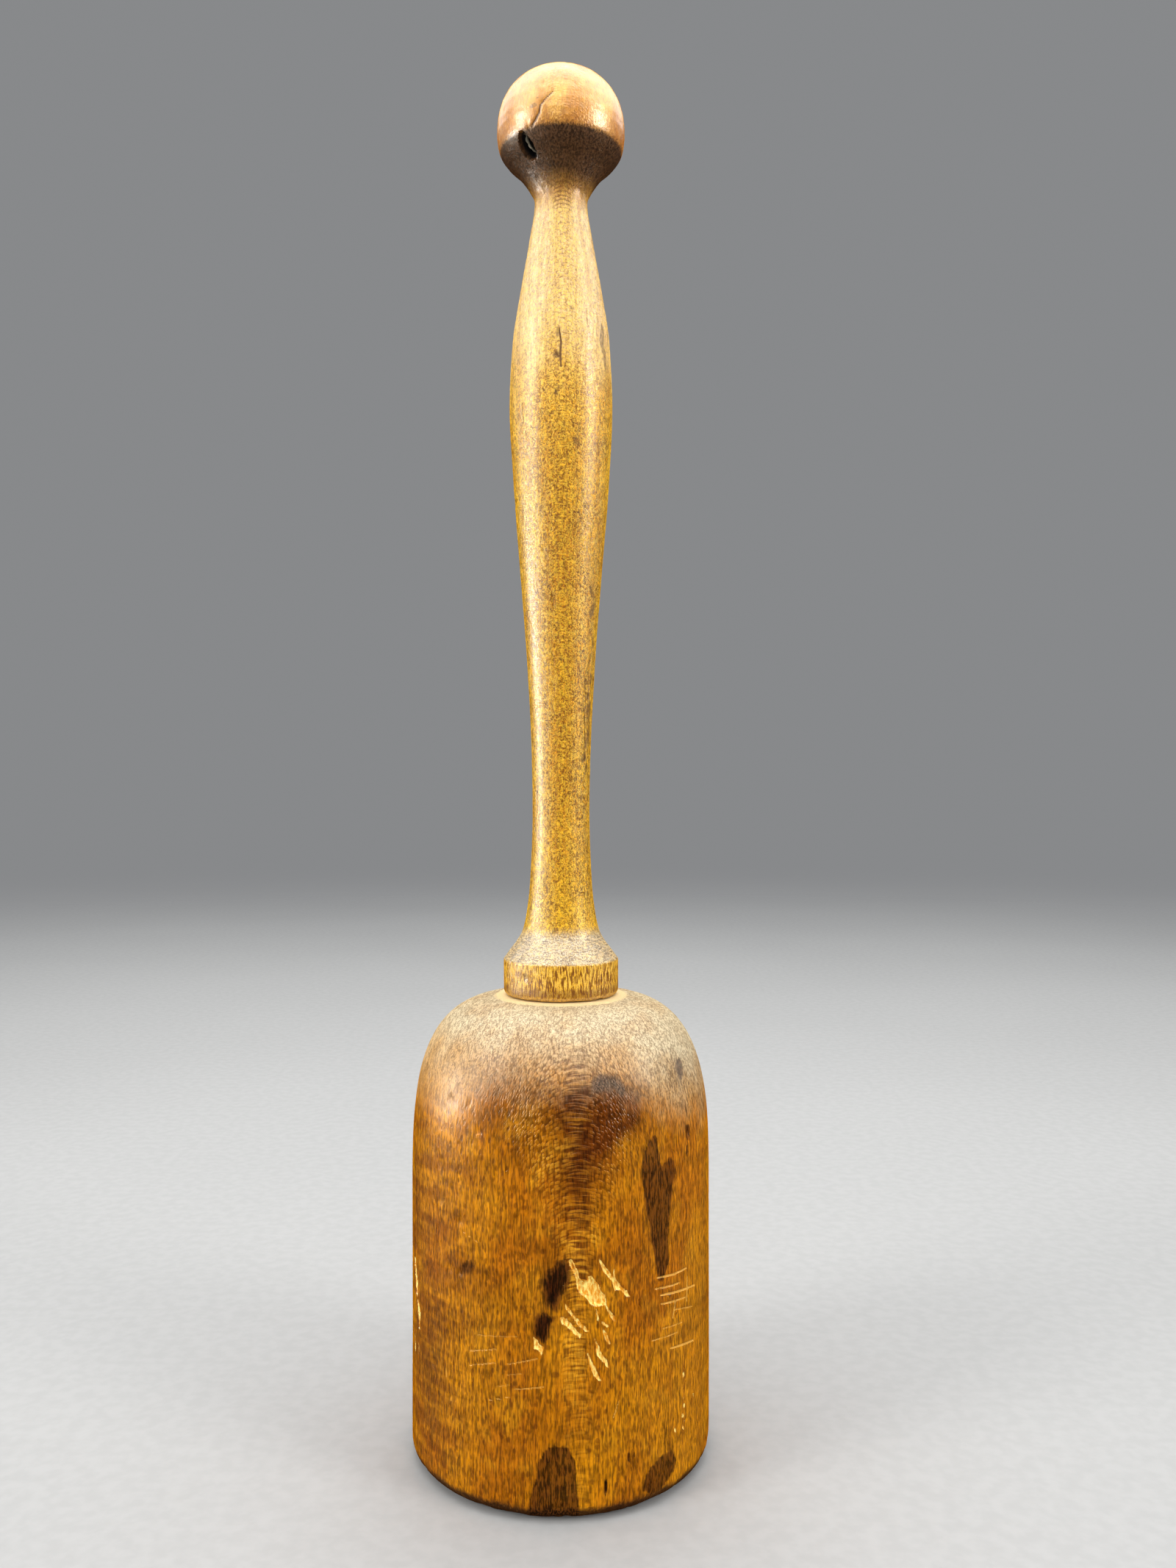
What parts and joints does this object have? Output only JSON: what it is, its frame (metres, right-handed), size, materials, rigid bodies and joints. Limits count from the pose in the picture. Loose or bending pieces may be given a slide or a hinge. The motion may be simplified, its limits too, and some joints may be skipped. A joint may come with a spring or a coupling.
{
  "type": "meat mallet",
  "caption": "Turned wooden meat mallet: heavy bell-shaped block with a flat round striking face, on a swelling turned handle with a ball knob and a seating collar.",
  "frame": {"origin": "centre of the flat striking face", "axes": "+Z along the turning axis, from the striking face up to the knob; the object is round, so X and Y are any two axes square to it"},
  "size_m": [0.085, 0.085, 0.393],
  "materials": {
    "head_wood": "dense red-brown hardwood, old rubbed varnish, worn pale and grey on the shoulder, cut and chipped on the side",
    "handle_wood": "honey-coloured turned hardwood, satin sheen from handling, darker on the knob",
    "wedge_wood": "bare hardwood, hidden inside the socket"
  },
  "bodies": {
    "root": {"head": "head_wood", "handle": "handle_wood", "tenon_wedge": "wedge_wood"}
  },
  "joints": []
}
